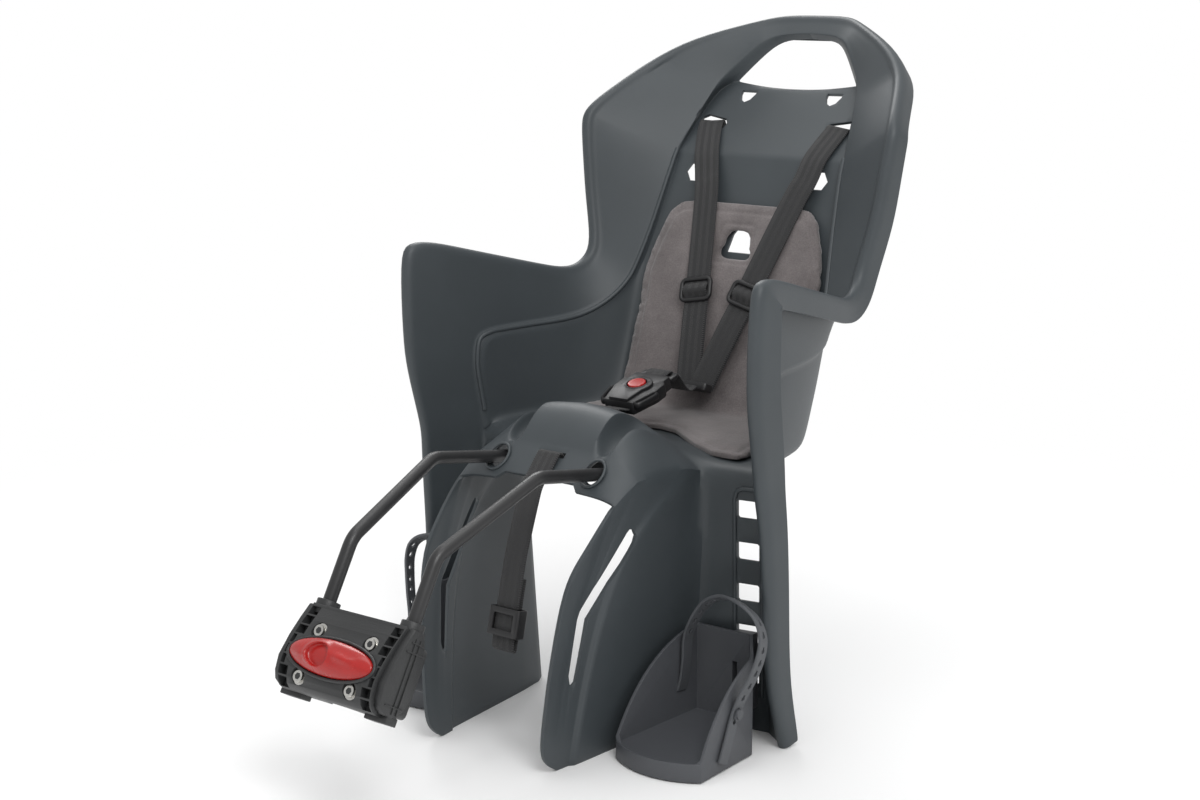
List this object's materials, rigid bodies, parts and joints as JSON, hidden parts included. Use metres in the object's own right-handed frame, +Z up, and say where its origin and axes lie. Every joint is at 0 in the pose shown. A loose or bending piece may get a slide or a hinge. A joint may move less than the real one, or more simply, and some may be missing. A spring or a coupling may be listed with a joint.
{
  "type": "child bike seat",
  "caption": "Rear child bike seat: moulded bucket shell with arm rests and leg guards, felt liner, shoulder harness, sliding foot rests and a rod bow with a seat tube clamp block.",
  "frame": {"origin": "floor level under the middle of the footprint, on the seat's mirror plane", "axes": "+Z up as the seat stands on its leg guards, -Y towards the clamp block and the bike's saddle, +X to the child's left"},
  "size_m": [0.4226, 0.7662, 0.6515],
  "materials": {
    "shell": "dark slate polypropylene, fine satin texture",
    "liner": "brown grey felt",
    "webbing": "black herringbone webbing",
    "trim": "black moulded acetal",
    "red": "glossy red",
    "rods": "satin black powder coat over steel",
    "block": "black glass-filled nylon",
    "steel": "zinc plated",
    "rest": "mid grey polypropylene",
    "rubber": "grey soft rubber"
  },
  "bodies": {
    "seat": {"seat_shell": "shell", "seat_pad": "liner", "shoulder_strap_left": "webbing", "shoulder_strap_right": "webbing", "strap_anchor_left": "trim", "strap_anchor_right": "trim", "harness_joiner": "trim", "harness_buckle": "trim", "buckle_spring": "steel", "tongue_strap": "webbing", "crotch_strap": "webbing", "carrier_bow": "rods", "bow_bracket": "block", "bracket_screws": "steel", "safety_strap": "webbing", "safety_slide": "trim"},
    "clamp_block": {"block_front": "block", "block_rear": "block", "clamp_washers": "steel", "clamp_bolts": "steel", "clamp_nuts": "steel", "release_springs": "steel"},
    "release": {"release_button": "red", "rod_latch": "steel"},
    "buckle_release": {"buckle_button": "red"},
    "tongue": {"buckle_tongue": "trim"},
    "adjuster_left": {"strap_adjuster_left": "trim"},
    "adjuster_right": {"strap_adjuster_right": "trim"},
    "foot_left": {"foot_rest_left": "rest", "foot_strap_left": "rubber"},
    "foot_right": {"foot_rest_right": "rest", "foot_strap_right": "rubber"}
  },
  "joints": [
    {"name": "block_slide", "type": "slide", "parent": "seat", "child": "clamp_block", "axis": [0, -0.515, -0.8572], "range_m": [0, 0.075]},
    {"name": "release_push", "type": "slide", "parent": "clamp_block", "child": "release", "axis": [0, 0.8572, -0.515], "range_m": [0, 0.005], "stiffness_N_per_m": 800, "springref_m": -0.004, "deforming": ["release_springs"]},
    {"name": "buckle_push", "type": "slide", "parent": "seat", "child": "buckle_release", "axis": [0, 0.28, -0.96], "range_m": [0, 0.003], "stiffness_N_per_m": 800, "springref_m": -0.003, "deforming": ["buckle_spring"]},
    {"name": "tongue_pull", "type": "slide", "parent": "seat", "child": "tongue", "axis": [0, 0.96, 0.28], "range_m": [0, 0.016], "deforming": ["tongue_strap"]},
    {"name": "adjuster_left_slide", "type": "slide", "parent": "seat", "child": "adjuster_left", "axis": [0.2309, 0.4208, 0.8773], "range_m": [-0.03, 0.03]},
    {"name": "adjuster_right_slide", "type": "slide", "parent": "seat", "child": "adjuster_right", "axis": [-0.232, 0.4074, 0.8833], "range_m": [-0.03, 0.03]},
    {"name": "foot_left_slide", "type": "slide", "parent": "seat", "child": "foot_left", "axis": [0, -0.0282, 0.9996], "range_m": [0, 0.12]},
    {"name": "foot_right_slide", "type": "slide", "parent": "seat", "child": "foot_right", "axis": [0, -0.0282, 0.9996], "range_m": [0, 0.12]}
  ]
}
